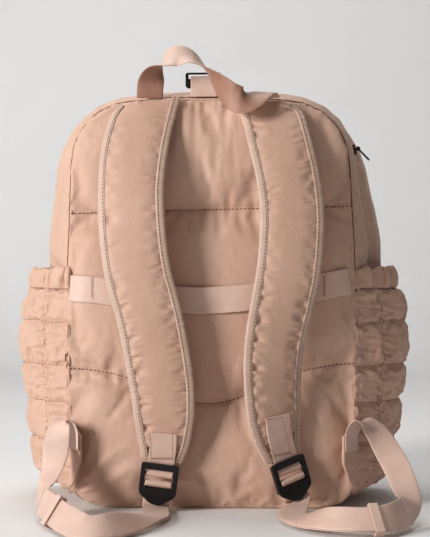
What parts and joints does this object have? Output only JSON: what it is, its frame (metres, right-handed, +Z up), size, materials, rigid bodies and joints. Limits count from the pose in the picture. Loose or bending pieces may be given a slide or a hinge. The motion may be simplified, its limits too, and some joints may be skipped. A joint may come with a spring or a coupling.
{
  "type": "backpack",
  "caption": "Quilted puffer backpack with padded shoulder straps, adjusting webbing, side pockets, trolley band, carrying handle and a zip with a hinged puller.",
  "frame": {"origin": "middle of the base, on the floor: X middle of the body, Y middle of its depth", "axes": "+Z up, -Y towards the wearer's back (the straps), +X to the right when the straps are seen from behind the wearer's side"},
  "size_m": [0.4018, 0.3414, 0.4457],
  "materials": {
    "nylon": "crinkled nylon with a soft sheen",
    "strap_nylon": "smooth padded nylon",
    "binding_tape": "gathered binding tape",
    "satin_webbing": "ribbed satin webbing",
    "zip_tape": "woven zip tape",
    "black_plastic": "moulded, slight gloss"
  },
  "bodies": {
    "bag": {"gusset": "nylon", "back_panel": "nylon", "front_panel": "nylon", "zip_tape": "zip_tape", "side_pocket_left": "nylon", "side_pocket_right": "nylon", "pocket_hem_left": "nylon", "pocket_hem_right": "nylon", "shoulder_strap_left": "strap_nylon", "shoulder_strap_right": "strap_nylon", "strap_binding_left_inner": "binding_tape", "strap_binding_left_outer": "binding_tape", "strap_binding_right_inner": "binding_tape", "strap_binding_right_outer": "binding_tape", "strap_patch_left": "satin_webbing", "strap_patch_right": "satin_webbing", "buckle_left": "black_plastic", "buckle_right": "black_plastic", "webbing_left": "satin_webbing", "webbing_right": "satin_webbing", "keeper_left": "satin_webbing", "keeper_right": "satin_webbing", "corner_tab_left": "nylon", "corner_tab_right": "nylon", "top_handle": "satin_webbing", "top_ring": "black_plastic", "top_tab": "satin_webbing", "trolley_band": "satin_webbing", "zip_slider": "black_plastic"},
    "puller": {"zip_puller": "black_plastic"}
  },
  "joints": [
    {"name": "puller_hinge", "type": "hinge", "parent": "bag", "child": "puller", "pos_m": [0.14304, -0.03048, 0.35032], "axis": [0, -1, 0], "range_deg": [-6, 140]}
  ]
}
